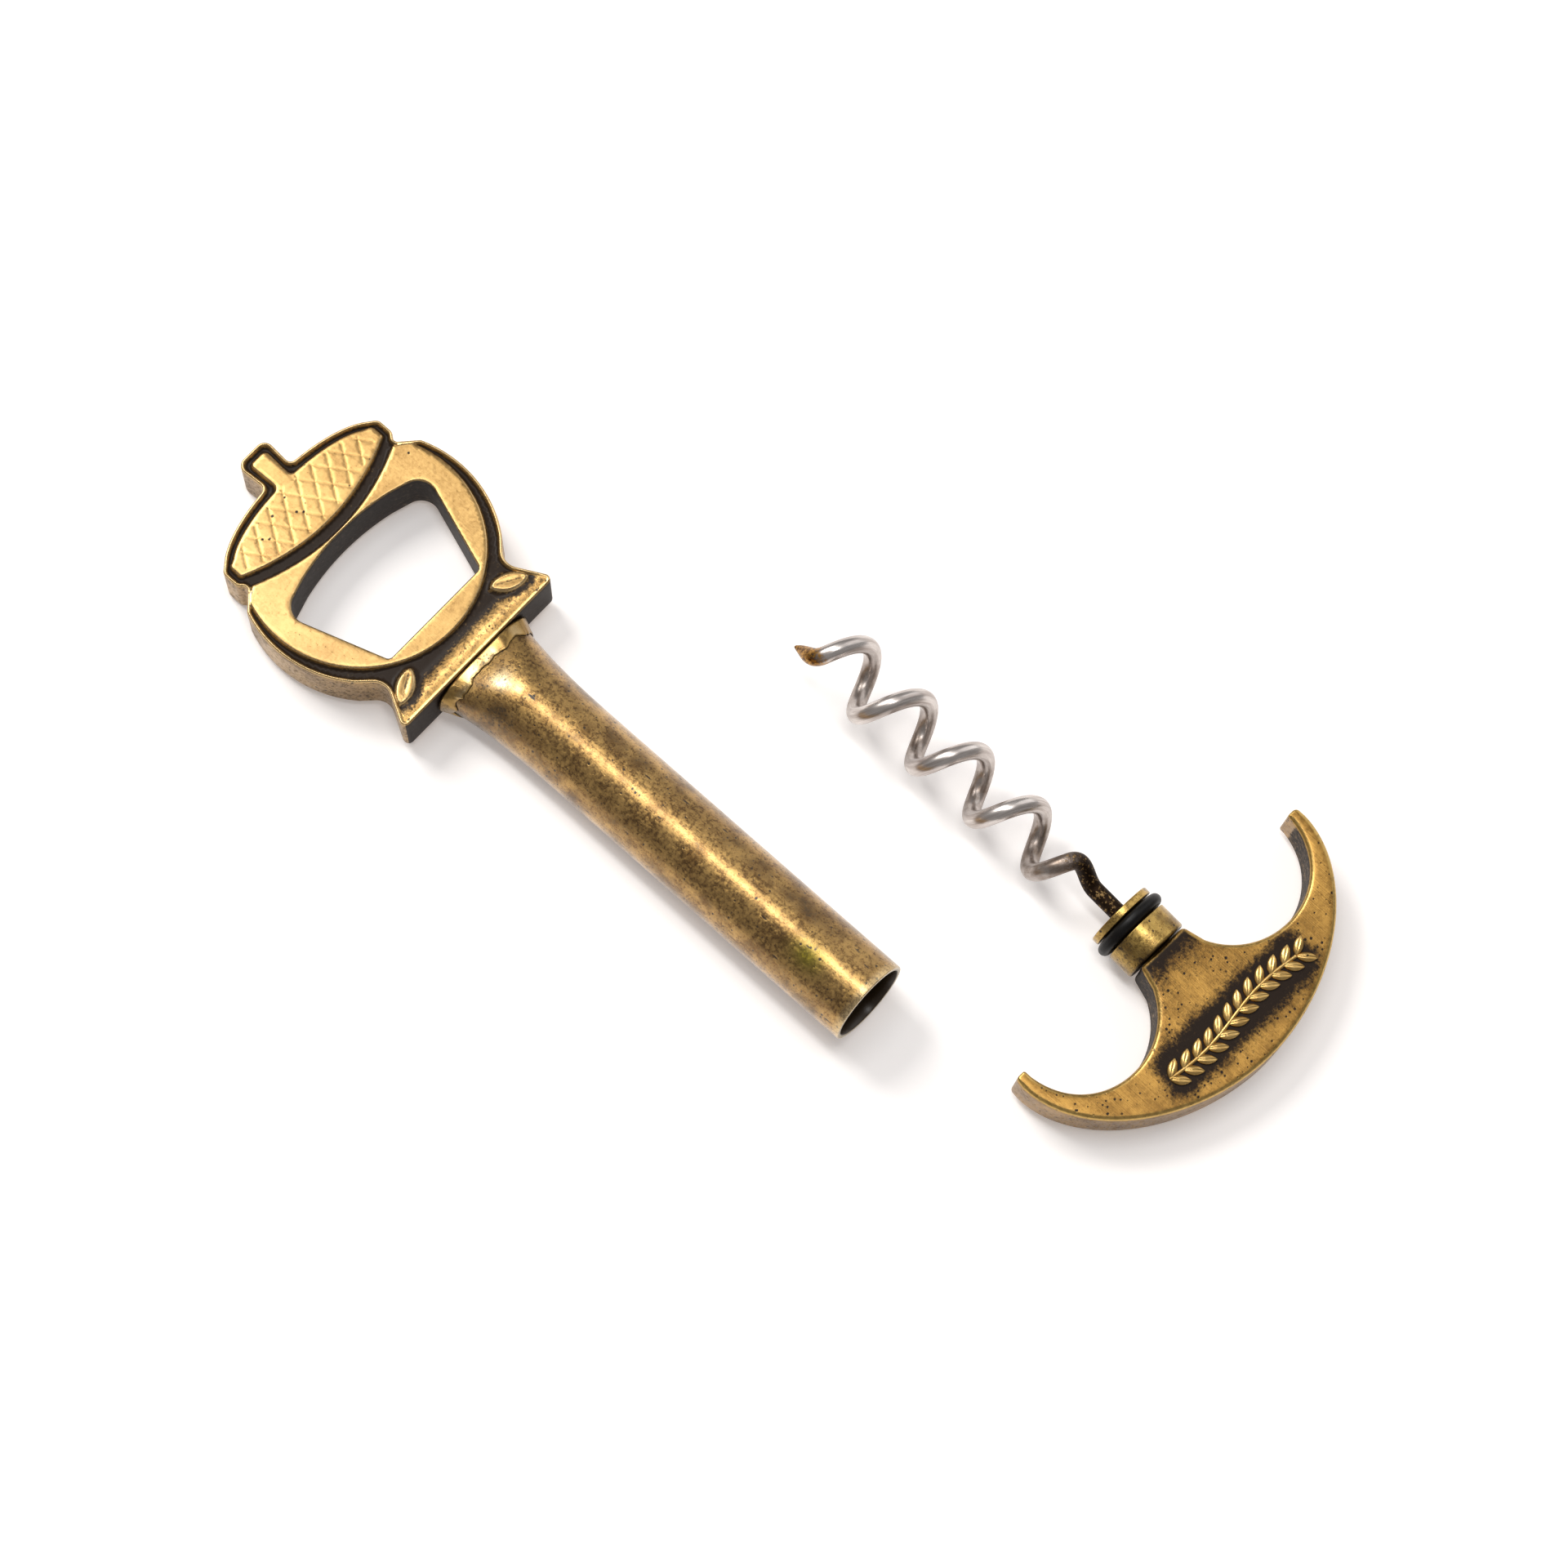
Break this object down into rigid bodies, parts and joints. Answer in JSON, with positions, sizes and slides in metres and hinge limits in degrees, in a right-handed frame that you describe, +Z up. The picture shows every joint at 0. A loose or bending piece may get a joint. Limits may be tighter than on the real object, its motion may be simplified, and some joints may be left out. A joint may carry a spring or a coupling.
{
  "type": "corkscrew with sheath and bottle opener",
  "caption": "Antique brass pocket corkscrew with a T-shaped anchor handle, a grooved plug and a helical steel worm, beside its tubular sheath, which ends in a flat ring-shaped cap opener.",
  "frame": {"origin": "middle of the bounding box in plan, on the table that both halves lie on", "axes": "+X along the sheath from the opener's head to its open mouth, +Z up"},
  "size_m": [0.1908, 0.0936, 0.0185],
  "materials": {
    "cast_antique_brass": "satin, blackened in the recesses",
    "drawn_antique_brass": "mottled brown patina, half polished",
    "braze_metal": "satin, pitted",
    "bright_steel_wire": "bright drawn wire, stained near the plug",
    "black_rubber": "satin"
  },
  "bodies": {
    "opener": {"opener_head": "cast_antique_brass", "sheath_tube": "drawn_antique_brass", "braze_bead": "braze_metal"},
    "corkscrew": {"handle": "cast_antique_brass", "plug": "drawn_antique_brass", "o_ring": "black_rubber", "worm": "bright_steel_wire"}
  },
  "joints": [
    {"name": "corkscrew_lift", "type": "slide", "parent": "opener", "child": "corkscrew", "axis": [0, 0, 1], "range_m": [0, 0.06]}
  ]
}
